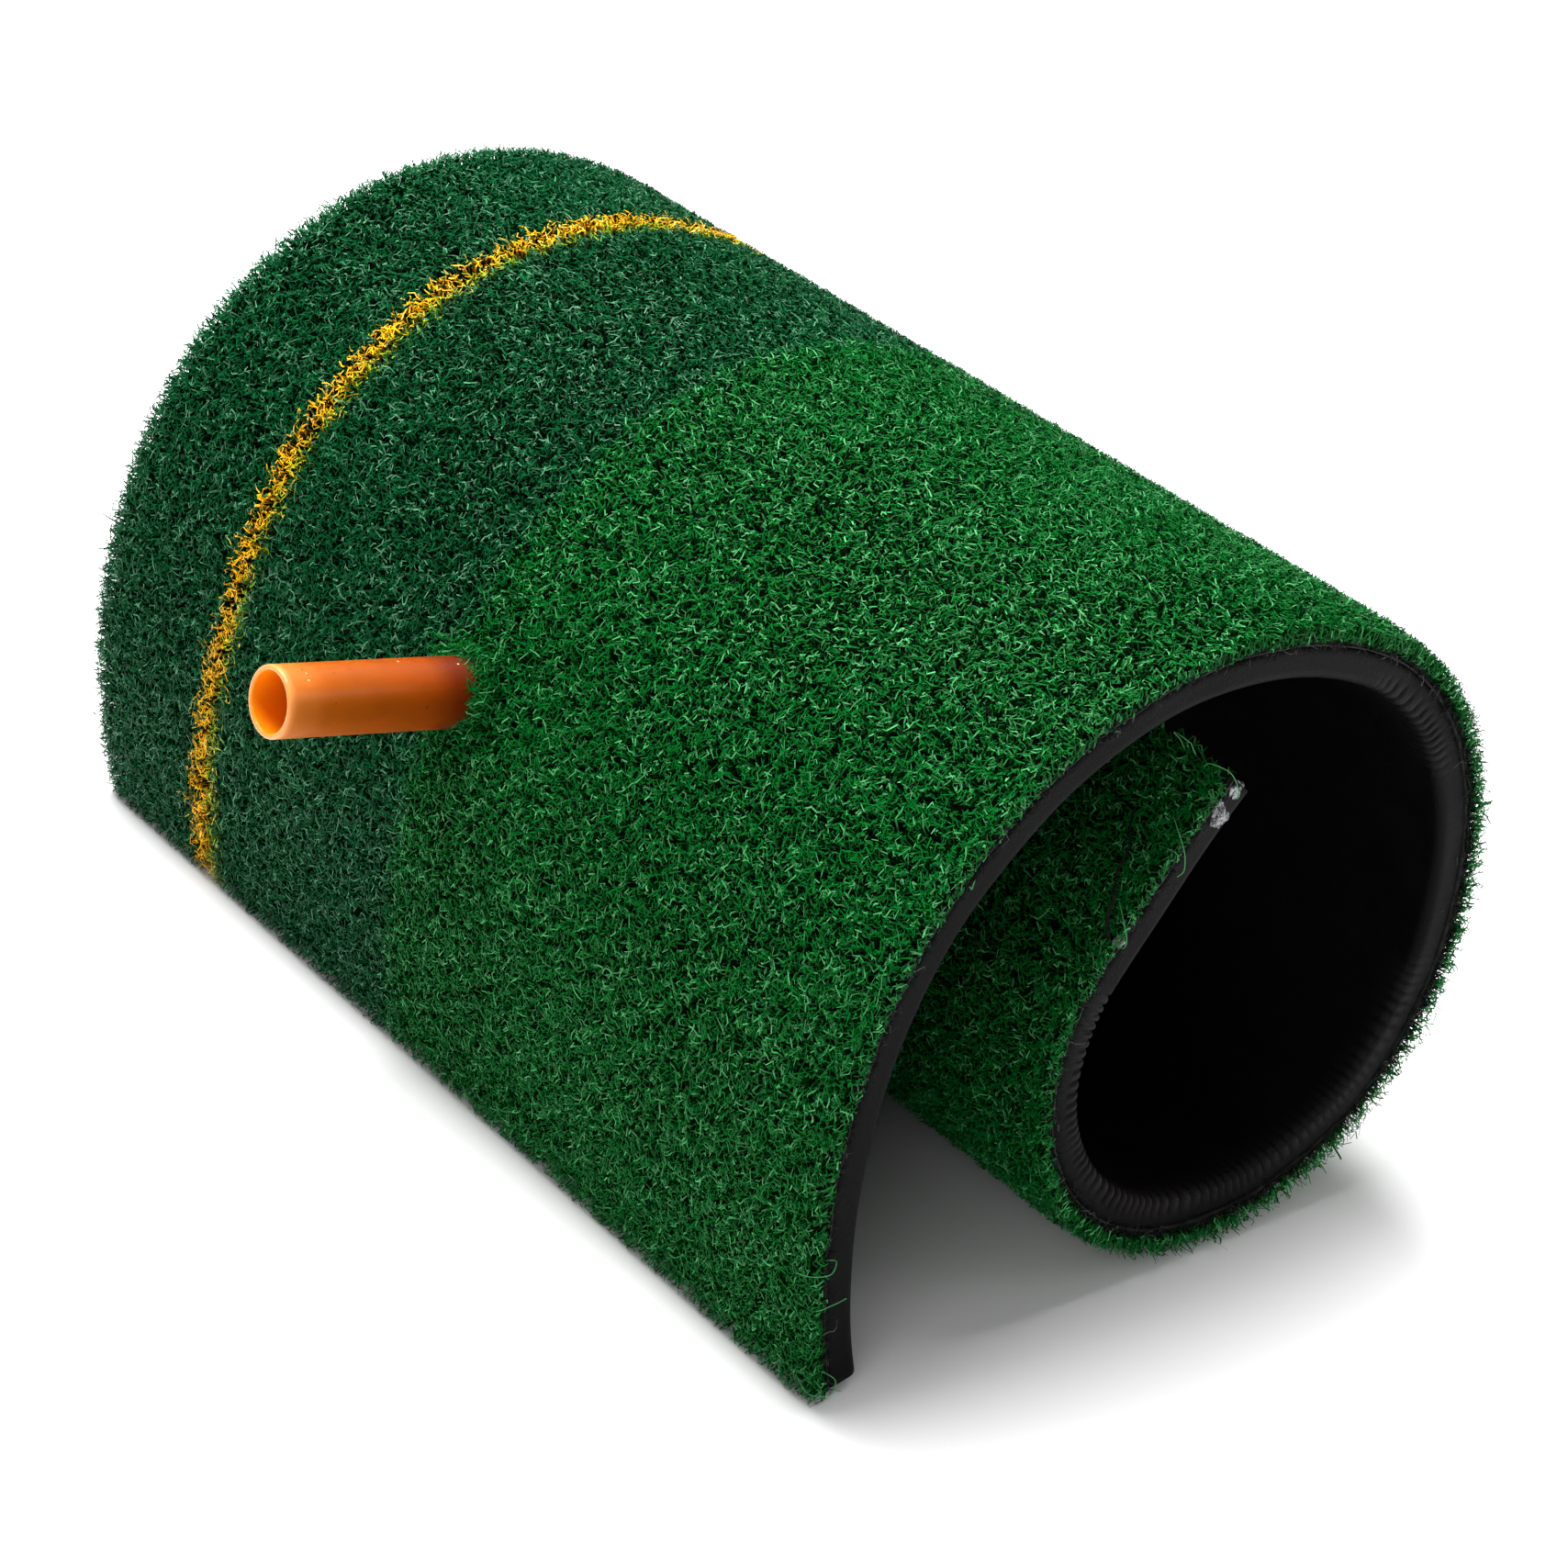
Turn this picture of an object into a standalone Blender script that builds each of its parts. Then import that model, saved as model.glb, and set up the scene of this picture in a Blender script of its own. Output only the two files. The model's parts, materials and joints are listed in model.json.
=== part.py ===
"""A golf practice mat rolled up turf side out, with a rubber tee standing in it.

Blender 4.5 script, metres, +Z up. The mat is a 600 x 300 mm sheet: black foam, a film
of glue, a woven backing and four strips of pile side by side. It is rolled about the
Y axis and stands on its outer free end and on the underside of the coil.
"""

import math

import bmesh
import bpy
from mathutils import Matrix, Vector

# The sheet. Its length is rolled up, in arcs of equal length from the outer free end to
# the inner one, each turning the sheet clockwise (seen from -Y) by its own angle.
MAT_WIDTH = 0.300
ARC_LENGTH = 0.050
ARC_TURNS_DEG = (15.4, 22.6, 28.5, 31.4, 30.8, 43.3, 31.8, 44.0, 45.0, 56.3, 57.8, 8.1)
FREE_END_HEADING_DEG = 102.5
DEGREES_PER_FACET = 5.0

# The layers, as offsets from the outer face of the foam, outwards positive.
FOAM = (-0.0080, 0.0)
GLUE = (0.0002, 0.0006)
BACKING = (0.0008, 0.0018)
PILE = (0.0020, 0.0080)

# The pile strips, across the mat's width.
LIGHT_TO_DARK = 0.009
YELLOW_LINE = (0.088, 0.098)
STRIP_GAP = 0.0003

# The tee: how far along the mat it stands, across the width, and which way it points.
TEE_ALONG = 0.0958
TEE_ACROSS = 0.002
TEE_ANGLE_DEG = 168.5
TEE_RADIUS = 0.0083
TEE_BORE_RADIUS = 0.0070
TEE_ABOVE_PILE = 0.0515
TEE_BELOW_PILE = 0.0250
TEE_PILE_LEVEL = 0.0070
TEE_LIP = 0.0005
TEE_LIP_SHOULDER = 0.3
TEE_MOUTH_FLARE = 0.0004
FLANGE_RADIUS = 0.0200
FLANGE = (-0.0102, -0.0082)
ROUND_FACETS = 48

# The hole for the tee, cut square to the tee: radius, and reach along the tee's axis.
TEE_HOLE_RADIUS = 0.0086
TEE_HOLE_REACH = (-0.028, 0.012)

# The patch of sheet that shapes the flange: half its length along the mat, half its
# width across, and how far out from the foam the tube is kept.
FLANGE_PATCH = (0.035, 0.030)
TUBE_KEPT_TO = 0.080

# The cutters' overrun past the tube's rim, and how near two vertices are the same one.
OVERRUN = 0.002
SAME_VERTEX = 1e-6
SAME_TURNED_VERTEX = 1e-5


def clear_scene():
    for obj in list(bpy.data.objects):
        bpy.data.objects.remove(obj, do_unlink=True)


def new_collection(name):
    collection = bpy.data.collections.new(name)
    bpy.context.scene.collection.children.link(collection)
    return collection


def new_material(name, colour, roughness):
    material = bpy.data.materials.new(name)
    material.use_nodes = True
    shader = material.node_tree.nodes["Principled BSDF"]
    shader.inputs["Base Color"].default_value = (*colour, 1.0)
    shader.inputs["Roughness"].default_value = roughness
    shader.inputs["Metallic"].default_value = 0.0
    material.diffuse_color = (*colour, 1.0)
    return material


def outward(heading):
    return Vector((-math.sin(heading), 0.0, math.cos(heading)))


def rolled_stations():
    """(distance along the mat, point, heading) on the foam's outer face, free end at the
    origin."""
    point = Vector((0.0, 0.0, 0.0))
    heading = math.radians(FREE_END_HEADING_DEG)
    along = 0.0
    stations = [(along, point.copy(), heading)]
    for turn in ARC_TURNS_DEG:
        steps = math.ceil(turn / DEGREES_PER_FACET)
        half_bend = math.radians(turn) / steps / 2
        chord = ARC_LENGTH / steps * math.sin(half_bend) / half_bend
        for _ in range(steps):
            heading -= half_bend
            point += chord * Vector((math.cos(heading), 0.0, math.sin(heading)))
            heading -= half_bend
            along += ARC_LENGTH / steps
            stations.append((along, point.copy(), heading))
    return stations


def centred(stations):
    """The stations moved so that mat and tee together are centred, standing on z = 0."""
    reach = [p + offset * outward(h) for _, p, h in stations for offset in (FOAM[0], PILE[1])]
    reach.append(tee_frame(stations) @ Vector((TEE_LIP - TEE_RADIUS, 0.0, TEE_ABOVE_PILE)))
    middle = (min(p.x for p in reach) + max(p.x for p in reach)) / 2
    shift = Vector((middle, 0.0, min(p.z for p in reach)))
    return [(along, point - shift, heading) for along, point, heading in stations]


def point_at(stations, along, offset):
    """The point this far along the mat and this far out from the foam's outer face."""
    for (a0, p0, h0), (a1, p1, h1) in zip(stations, stations[1:]):
        if a0 <= along <= a1:
            share = (along - a0) / (a1 - a0)
            heading = h0 + share * (h1 - h0)
            return p0.lerp(p1, share) + offset * outward(heading)
    raise ValueError("that point is off the mat")


def add_layer(name, stations, offsets, across, collection, material=None):
    """A piece of sheet between two offsets, from the first station to the last."""
    inner = [p + offsets[0] * outward(h) for _, p, h in stations]
    outer = [p + offsets[1] * outward(h) for _, p, h in stations]
    outline = outer + inner[::-1]
    curve = bpy.data.curves.new(name, "CURVE")
    curve.dimensions = "2D"
    curve.fill_mode = "BOTH"
    curve.extrude = (across[1] - across[0]) / 2
    spline = curve.splines.new("POLY")
    spline.points.add(len(outline) - 1)
    spline.use_cyclic_u = True
    for corner, point in zip(spline.points, outline):
        corner.co = (point.x, point.z, 0.0, 1.0)
    return add_from_curve(name, curve, sum(across) / 2, collection, material)


def add_from_curve(name, curve, y, collection, material):
    """The curve's filled and extruded shape as a mesh standing in the XZ plane at y."""
    drawn = bpy.data.objects.new(name + "_outline", curve)
    mesh = bpy.data.meshes.new_from_object(drawn)
    bpy.data.objects.remove(drawn)
    mesh.transform(Matrix.Rotation(math.pi / 2, 4, "X"))
    shape = bmesh.new()
    shape.from_mesh(mesh)
    bmesh.ops.remove_doubles(shape, verts=shape.verts, dist=SAME_VERTEX)
    bmesh.ops.recalc_face_normals(shape, faces=shape.faces)
    shape.to_mesh(mesh)
    shape.free()
    obj = bpy.data.objects.new(name, mesh)
    obj.location.y = y
    if material:
        mesh.materials.append(material)
    collection.objects.link(obj)
    return obj


def add_turned(name, profile, frame, collection, material=None):
    """A solid turned about its own Z axis from (radius, height) points, listed from the
    axis at the foot to the axis at the top."""
    mesh = bpy.data.meshes.new(name)
    shape = bmesh.new()
    corners = [shape.verts.new((radius, 0.0, height)) for radius, height in profile]
    for pair in zip(corners, corners[1:]):
        shape.edges.new(pair)
    shape.to_mesh(mesh)
    shape.free()
    obj = bpy.data.objects.new(name, mesh)
    obj.matrix_world = frame
    if material:
        mesh.materials.append(material)
    collection.objects.link(obj)
    screw = obj.modifiers.new("turned", "SCREW")
    screw.steps = ROUND_FACETS
    screw.render_steps = ROUND_FACETS
    screw.use_merge_vertices = True
    screw.merge_threshold = SAME_TURNED_VERTEX
    screw.use_normal_calculate = True
    screw.use_normal_flip = True
    return obj


def cut(obj, other, operation="DIFFERENCE"):
    modifier = obj.modifiers.new(other.name, "BOOLEAN")
    modifier.operation = operation
    modifier.solver = "EXACT"
    modifier.object = other


def hide(obj):
    obj.hide_render = True
    obj.display_type = "WIRE"


def tee_frame(stations):
    """The tee's own frame: +Z along the tube, origin where the tube leaves the pile."""
    angle = math.radians(TEE_ANGLE_DEG)
    axis = Vector((math.cos(angle), 0.0, math.sin(angle)))
    side = Vector((0.0, 1.0, 0.0))
    frame = Matrix((side.cross(axis), side, axis)).transposed().to_4x4()
    origin = point_at(stations, TEE_ALONG, TEE_PILE_LEVEL)
    frame.translation = origin + Vector((0.0, TEE_ACROSS, 0.0))
    return frame


def add_mat(stations, hole, collection):
    """The sheet's layers. All but the two far strips are holed for the tee."""
    half = MAT_WIDTH / 2
    full = (-half, half)
    gap = STRIP_GAP / 2
    foam = new_material("black_foam", (0.012, 0.012, 0.013), 0.75)
    glue = new_material("hot_melt_glue", (0.30, 0.29, 0.26), 0.35)
    woven = new_material("woven_backing", (0.020, 0.022, 0.020), 0.85)
    light = new_material("light_green_pile", (0.010, 0.165, 0.035), 0.45)
    dark = new_material("dark_green_pile", (0.006, 0.085, 0.035), 0.45)
    yellow = new_material("yellow_pile", (0.720, 0.400, 0.020), 0.45)
    strips = (
        ("foam_base", FOAM, full, foam, True),
        ("glue_film", GLUE, full, glue, True),
        ("turf_backing", BACKING, full, woven, True),
        ("pile_light", PILE, (-half, LIGHT_TO_DARK - gap), light, True),
        ("pile_dark_inner", PILE, (LIGHT_TO_DARK + gap, YELLOW_LINE[0] - gap), dark, True),
        ("pile_yellow_line", PILE, (YELLOW_LINE[0] + gap, YELLOW_LINE[1] - gap), yellow, False),
        ("pile_dark_outer", PILE, (YELLOW_LINE[1] + gap, half), dark, False),
    )
    for name, offsets, across, material, holed in strips:
        layer = add_layer(name, stations, offsets, across, collection, material)
        if holed:
            cut(layer, hole)


def add_tee(stations, frame, collection, cutters):
    """One rubber moulding: the tube, and a flange that lies against the foam's inside."""
    rubber = new_material("orange_rubber", (0.640, 0.165, 0.020), 0.42)
    lip = TEE_LIP
    shoulder = TEE_LIP_SHOULDER * TEE_LIP
    outside = (
        (0.0, -TEE_BELOW_PILE),
        (TEE_RADIUS, -TEE_BELOW_PILE),
        (TEE_RADIUS, TEE_ABOVE_PILE - lip),
        (TEE_RADIUS - shoulder, TEE_ABOVE_PILE - shoulder),
        (TEE_RADIUS - lip, TEE_ABOVE_PILE),
        (0.0, TEE_ABOVE_PILE),
    )
    tee = add_turned("tee", outside, frame, collection, rubber)

    near_tee = [s for s in stations if abs(s[0] - TEE_ALONG) < FLANGE_PATCH[0]]
    patch = (TEE_ACROSS - FLANGE_PATCH[1], TEE_ACROSS + FLANGE_PATCH[1])
    above_flange = (sum(FLANGE) / 2, TUBE_KEPT_TO)
    trim = add_layer("tee_trim", near_tee, above_flange, patch, cutters)
    flange = add_layer("tee_flange", near_tee, FLANGE, patch, cutters)
    rim = ((0.0, -TEE_BELOW_PILE), (FLANGE_RADIUS, -TEE_BELOW_PILE), (FLANGE_RADIUS, 0.0), (0.0, 0.0))
    disc = add_turned("tee_flange_rim", rim, frame, cutters)
    mouth = TEE_BORE_RADIUS + TEE_MOUTH_FLARE
    bored = (
        (0.0, -2 * TEE_BELOW_PILE),
        (TEE_BORE_RADIUS, -2 * TEE_BELOW_PILE),
        (TEE_BORE_RADIUS, TEE_ABOVE_PILE - 2 * TEE_MOUTH_FLARE),
        (mouth, TEE_ABOVE_PILE),
        (mouth, TEE_ABOVE_PILE + OVERRUN),
        (0.0, TEE_ABOVE_PILE + OVERRUN),
    )
    bore = add_turned("tee_bore", bored, frame, cutters)
    cut(flange, disc, "INTERSECT")
    cut(tee, trim, "INTERSECT")
    cut(tee, flange, "UNION")
    cut(tee, bore)
    for helper in (trim, flange, disc, bore):
        hide(helper)


def build():
    clear_scene()
    parts = new_collection("golf_practice_mat")
    cutters = new_collection("cutters")
    stations = centred(rolled_stations())
    frame = tee_frame(stations)
    foot, top = TEE_HOLE_REACH
    hole_profile = ((0.0, foot), (TEE_HOLE_RADIUS, foot), (TEE_HOLE_RADIUS, top), (0.0, top))
    hole = add_turned("tee_hole", hole_profile, frame, cutters)
    hide(hole)
    add_mat(stations, hole, parts)
    add_tee(stations, frame, parts, cutters)


build()
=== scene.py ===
"""A golf practice mat rolled up turf side out, with a rubber tee standing in it.

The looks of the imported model, in metres, +Z up: black foam, glue, woven backing, curled
pile in four strips, the moulded tee, and the bits of thread and glue left from making.
"""

import json
import math

import bmesh
import bpy
import numpy as np
from mathutils import Matrix, Vector


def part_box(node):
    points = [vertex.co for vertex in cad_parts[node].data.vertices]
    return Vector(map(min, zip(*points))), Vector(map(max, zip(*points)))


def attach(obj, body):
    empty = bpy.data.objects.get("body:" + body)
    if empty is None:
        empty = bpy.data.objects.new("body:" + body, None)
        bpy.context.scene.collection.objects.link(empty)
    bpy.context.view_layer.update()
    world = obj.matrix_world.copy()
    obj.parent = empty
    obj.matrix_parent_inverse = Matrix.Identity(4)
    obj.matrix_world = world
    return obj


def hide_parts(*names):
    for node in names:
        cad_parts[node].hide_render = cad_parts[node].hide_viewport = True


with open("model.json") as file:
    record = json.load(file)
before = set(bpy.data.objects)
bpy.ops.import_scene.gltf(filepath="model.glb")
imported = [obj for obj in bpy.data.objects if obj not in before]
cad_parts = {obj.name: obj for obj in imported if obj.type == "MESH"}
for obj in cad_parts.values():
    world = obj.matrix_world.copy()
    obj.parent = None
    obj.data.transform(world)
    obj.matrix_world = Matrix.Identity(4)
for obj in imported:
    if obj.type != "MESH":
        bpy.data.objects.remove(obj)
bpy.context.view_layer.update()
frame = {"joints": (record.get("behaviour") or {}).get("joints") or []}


# ---- Studio ----------------------------------------------------------------------------
# A white floor under an even white surround. A large softbox hangs over the back of the
# mat and weaker ones stand at the front left and the right, so shadows are soft and the
# coil is dark inside.

FLOOR_SIZE = 8.0
FLOOR_DROP = 0.0002
WHITE = (1.0, 1.0, 1.0, 1.0)
CAMERA_PLACE = (-0.54197, -0.68841, 0.55014)
CAMERA_TURN_DEG = (60.68, -4.825, -37.104)
CAMERA_LENS = 96.24
SURROUND_STRENGTH = 0.27
SOFTBOXES = (
    ("top_softbox", (0.10, 0.35, 1.38), (0.0, 0.0, 0.08), 1.1, 62.0),
    ("front_softbox", (-1.60, -1.10, 1.10), (0.0, 0.0, 0.08), 1.2, 9.0),
    ("right_softbox", (1.30, -1.20, 0.70), (0.0, 0.0, 0.08), 0.8, 3.0),
)


def node(tree, kind, inputs=(), **settings):
    """A new node. Its inputs are (socket name or number, value or linked socket) pairs."""
    made = tree.nodes.new(kind)
    for name, value in settings.items():
        setattr(made, name, value)
    for name, value in inputs:
        if isinstance(name, int):
            socket = made.inputs[name]
        else:
            socket = next(s for s in made.inputs if s.enabled and s.name == name)
        if isinstance(value, bpy.types.NodeSocket):
            tree.links.new(value, socket)
        else:
            socket.default_value = value
    return made


def new_material(name, sockets):
    """A material and its Principled BSDF, whose sockets take these values."""
    material = bpy.data.materials.new(name)
    material.use_nodes = True
    shader = material.node_tree.nodes["Principled BSDF"]
    for socket, value in sockets.items():
        shader.inputs[socket].default_value = value
    return material, shader


def noise(tree, scale, detail, place=None, **more):
    """A noise texture's value. Place is where it is read, or nothing for the default."""
    inputs = [("Scale", scale), ("Detail", detail), *more.items()]
    if place is not None:
        inputs.append(("Vector", place))
    return node(tree, "ShaderNodeTexNoise", inputs).outputs[0]


def ranged(tree, value, **ends):
    """The value mapped between two ranges, each 0 to 1 where its ends aren't given."""
    inputs = [(end.replace("_", " ").title(), number) for end, number in ends.items()]
    return node(tree, "ShaderNodeMapRange", [("Value", value), *inputs]).outputs[0]


def add_object(name, mesh):
    obj = bpy.data.objects.new(name, mesh)
    bpy.context.scene.collection.objects.link(obj)
    return obj


def add_floor():
    shape = bmesh.new()
    bmesh.ops.create_grid(shape, x_segments=1, y_segments=1, size=FLOOR_SIZE / 2)
    mesh = bpy.data.meshes.new("floor")
    shape.to_mesh(mesh)
    shape.free()
    material, shader = new_material("white_floor", {"Roughness": 0.9})
    tree = material.node_tree
    tone = ranged(tree, noise(tree, 3.0, 2.0), to_min=0.90, to_max=0.93)
    tree.links.new(tone, shader.inputs["Base Color"])
    mesh.materials.append(material)
    floor = add_object("floor", mesh)
    floor.location.z = -FLOOR_DROP


def add_softbox(name, place, target, size, power):
    light = bpy.data.lights.new(name, "AREA")
    light.shape = "SQUARE"
    light.size = size
    light.energy = power
    lamp = add_object(name, light)
    lamp.location = place
    lamp.rotation_euler = (Vector(target) - Vector(place)).to_track_quat("-Z", "Y").to_euler()


add_floor()
for softbox in SOFTBOXES:
    add_softbox(*softbox)

surround = bpy.data.worlds.new("white_surround")
surround.use_nodes = True
backdrop = surround.node_tree.nodes["Background"]
backdrop.inputs["Color"].default_value = WHITE
backdrop.inputs["Strength"].default_value = SURROUND_STRENGTH
bpy.context.scene.world = surround
bpy.context.scene.view_settings.view_transform = "Standard"

camera = add_object("camera", bpy.data.cameras.new("camera"))
camera.data.lens = CAMERA_LENS
camera.data.clip_start = 0.01
camera.location = CAMERA_PLACE
camera.rotation_euler = [math.radians(turn) for turn in CAMERA_TURN_DEG]
bpy.context.scene.camera = camera


# ---- Foam ------------------------------------------------------------------------------
# The base is one sheet of black closed-cell foam, 8 mm thick and cut to size, rolled up
# with the turf outwards. Where it is rolled tight its inner side is pressed into a row of
# small creases, which run over the cut edge's lip; there a painted grey-brown sheen lies on
# the crease ridges, with painted shade at their bottoms, and the foam is less rough. All the
# other layers follow its roll.

MAT_LENGTH = 0.600
ARC_TURNS_DEG = (15.4, 22.6, 28.5, 31.4, 30.8, 43.3, 31.8, 44.0, 45.0, 56.3, 57.8, 8.1)
FREE_END_HEADING_DEG = 102.5
FOAM_THICKNESS = 0.008
ROLL_STEP = 0.0001
FOAM_STEP = 0.0020
CREASED_STEP = 0.00045
CREASED = (0.245, 0.590)
CREASE_PITCH = 0.0029
CREASE_DEPTH = 0.0016
CREASE_WANDER = ((1.6, 61, 0), (1.3, 173, 1))
CREASE_SHEEN_DIP = 0.7
TIGHT_BEND = (12.5, 18.0)
BEND_WINDOW = 161
INNER_FACE = (
    (0.090, 0.0), (0.050, 0.0), (0.025, 0.0), (0.014, 0.0), (0.010, 0.03),
    (0.0075, 0.12), (0.0056, 0.35), (0.0042, 0.65), (0.0033, 0.9),
)
LIP_RADIUS = 0.0026
CUT_BAND = (
    (0.0048, 0.85), (0.0042, 0.65), (0.0036, 0.4),
    (0.0030, 0.2), (0.0023, 0.06), (0.0014, 0.0),
)
OUTER_FACE = ((0.0002, -0.0003), (0.0006, 0.0), (0.05, 0.0))
CUT_WAVE = (0.00025, 0.083)
TEE_ALONG = 0.0958
TEE_ACROSS = 0.002
TEE_PILE_LEVEL = 0.0070
TEE_HOLE_RADIUS = 0.0086
TEE_HOLE_DEPTH = 0.05

foam_low, foam_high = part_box("foam_base")
HALF_WIDTH = (foam_high.y - foam_low.y) / 2

roll_along = np.arange(0.0, MAT_LENGTH + ROLL_STEP / 2, ROLL_STEP)
arc_ends = np.linspace(0.0, MAT_LENGTH, len(ARC_TURNS_DEG) + 1)
arc_turned = np.radians(np.cumsum((0.0,) + ARC_TURNS_DEG))
roll_heading = math.radians(FREE_END_HEADING_DEG) - np.interp(roll_along, arc_ends, arc_turned)
step_heading = (roll_heading[1:] + roll_heading[:-1]) / 2
roll_x = np.concatenate([[0.0], np.cumsum(np.cos(step_heading))]) * ROLL_STEP
roll_z = np.concatenate([[0.0], np.cumsum(np.sin(step_heading))]) * ROLL_STEP
roll_x += foam_low.x - min(roll_x.min(), (roll_x + FOAM_THICKNESS * np.sin(roll_heading)).min())
roll_z += foam_low.z - min(roll_z.min(), (roll_z - FOAM_THICKNESS * np.cos(roll_heading)).min())


def on_roll(along, across, offset):
    """Points this far along and across the mat, and this far out from the foam's outer
    face, as an (n, 3) array."""
    along, across, offset = np.broadcast_arrays(along, across, offset)
    heading = np.interp(along, roll_along, roll_heading)
    x = np.interp(along, roll_along, roll_x) - offset * np.sin(heading)
    z = np.interp(along, roll_along, roll_z) + offset * np.cos(heading)
    return np.stack([x, across, z], axis=-1)


def smooth(value, low, high):
    """0 below low, 1 above high, and a smooth rise between."""
    share = np.clip((value - low) / (high - low), 0.0, 1.0)
    return share * share * (3 - 2 * share)


def store(mesh, name, values, kind="FLOAT"):
    """Writes values, a number or a vector for each point, as the mesh's attribute."""
    layer = mesh.attributes.new(name, kind, "POINT")
    field = "value" if kind == "FLOAT" else "vector"
    layer.data.foreach_set(field, values.astype(np.float32).ravel())


def grid_mesh(name, points, closed=False, **attributes):
    """A mesh of quads over a (rows, columns, 3) grid of points. Closed joins the last
    column to the first and caps both ends. Attributes are one number for each point."""
    rows, columns, _ = points.shape
    index = np.arange(rows * columns).reshape(rows, columns)
    if closed:
        index = np.concatenate([index, index[:, :1]], axis=1)
    corners = (index[:-1, :-1], index[:-1, 1:], index[1:, 1:], index[1:, :-1])
    faces = np.stack(corners, axis=-1).reshape(-1, 4).tolist()
    if closed:
        faces += [index[0, :-1][::-1].tolist(), index[-1, :-1].tolist()]
    mesh = bpy.data.meshes.new(name)
    mesh.from_pydata(points.reshape(-1, 3).tolist(), [], faces)
    mesh.shade_smooth()
    for label, values in attributes.items():
        store(mesh, label, np.broadcast_to(values, (rows, columns)))
    return mesh


def wavy(along, size, pitch, phase):
    """A gentle uneven wave along the mat, as a hand-cut edge has."""
    turn = 2 * math.pi * along / pitch
    return size * (np.sin(turn + phase) + 0.5 * np.sin(2.3 * turn + 2 * phase)) / 1.5


def foam_section():
    """Half of the sheet's cross-section, from the middle of the inner face round the lip
    to the outer face: (in from the edge, offset, how creased, crease's direction)."""
    inner = [(inset, -FOAM_THICKNESS, creased, (0.0, 1.0)) for inset, creased in INNER_FACE]
    lip = []
    for degrees in range(0, 91, 15):
        sine, cosine = math.sin(math.radians(degrees)), math.cos(math.radians(degrees))
        inset = LIP_RADIUS * (1 - sine)
        lip.append((inset, -FOAM_THICKNESS + LIP_RADIUS * (1 - cosine), 1.0, (sine, cosine)))
    band = [(0.0, -depth, creased, (1.0, 0.0)) for depth, creased in CUT_BAND]
    outer = [(inset, offset, 0.0, (0.0, 0.0)) for inset, offset in OUTER_FACE]
    return inner + lip + band + outer


def foam_points(along):
    """The creased sheet's points, one row for each place along the mat, and how much
    painted sheen the foam's colour gets at each."""
    bend = np.abs(np.gradient(roll_heading, ROLL_STEP))
    bend = np.convolve(bend, np.full(BEND_WINDOW, 1 / BEND_WINDOW), "same")
    tight = smooth(np.interp(along, roll_along, bend), *TIGHT_BEND)
    phase = math.pi * along / CREASE_PITCH
    for swing, rate, start in CREASE_WANDER:
        phase = phase + swing * np.sin(rate * along + start)
    fold = (1 - np.abs(np.sin(phase))) ** 2
    uneven = 0.75 + 0.25 * np.sin(211 * along + 2) * np.sin(83 * along)
    depth = CREASE_DEPTH * tight * uneven * fold
    columns = []
    worn = []
    for side in (-1, 1):
        half = foam_section()
        if side > 0:
            half = half[::-1]
        for inset, offset, creased, (across_way, offset_way) in half:
            edge = HALF_WIDTH - inset - wavy(along, *CUT_WAVE, 1.0 + side) * (inset < 0.002)
            across = side * (edge - depth * creased * across_way)
            columns.append(on_roll(along, across, offset + depth * creased * offset_way))
            # Painted sheen on the crease ridges, dimmed by painted shade at the crease bottoms.
            worn.append(creased * tight * (1 - CREASE_SHEEN_DIP * fold))
    return np.stack(columns, axis=1)[:, ::-1], np.stack(worn, axis=1)[:, ::-1]


def tee_cutter():
    """A hidden cylinder on the tee's axis, to cut its hole through a layer."""
    shape = bmesh.new()
    bmesh.ops.create_cone(
        shape,
        cap_ends=True,
        segments=48,
        radius1=TEE_HOLE_RADIUS,
        radius2=TEE_HOLE_RADIUS,
        depth=TEE_HOLE_DEPTH,
    )
    mesh = bpy.data.meshes.new("tee_cutter")
    shape.transform(tee_frame)
    shape.to_mesh(mesh)
    shape.free()
    cutter = add_object("tee_cutter", mesh)
    cutter.hide_render = True
    cutter.hide_viewport = True
    return cutter


def hole_for_tee(obj):
    """Cuts the tee's hole into obj's own mesh."""
    modifier = obj.modifiers.new("tee_hole", "BOOLEAN")
    modifier.solver = "EXACT"
    modifier.object = cutter
    bake_modifiers(obj)


def bake_modifiers(obj):
    """Obj's evaluated mesh becomes its own, and its modifiers go."""
    graph = bpy.context.evaluated_depsgraph_get()
    made = bpy.data.meshes.new_from_object(obj.evaluated_get(graph), depsgraph=graph)
    obj.modifiers.clear()
    obj.data = made


tee_axis = -Vector(frame["joints"][0]["axis"]).normalized()
tee_point = Vector(on_roll(TEE_ALONG, TEE_ACROSS, TEE_PILE_LEVEL).tolist())
tee_side = Vector((0.0, 1.0, 0.0))
tee_frame = Matrix((tee_side.cross(tee_axis), tee_side, tee_axis)).transposed().to_4x4()
tee_frame.translation = tee_point
cutter = tee_cutter()

plain_ends = [np.arange(0.0, CREASED[0], FOAM_STEP), np.arange(CREASED[1], MAT_LENGTH, FOAM_STEP)]
creased_middle = np.arange(CREASED[0], CREASED[1], CREASED_STEP)
foam_along = np.concatenate([plain_ends[0], creased_middle, plain_ends[1], [MAT_LENGTH]])


def mixed(tree, factor, first, second):
    """A colour between the first and the second."""
    inputs = [("Factor", factor), ("A", first), ("B", second)]
    return node(tree, "ShaderNodeMix", inputs, data_type="RGBA").outputs["Result"]


def calculated(tree, operation, *values):
    """The result of one operation on these values."""
    return node(tree, "ShaderNodeMath", enumerate(values), operation=operation).outputs[0]


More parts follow.
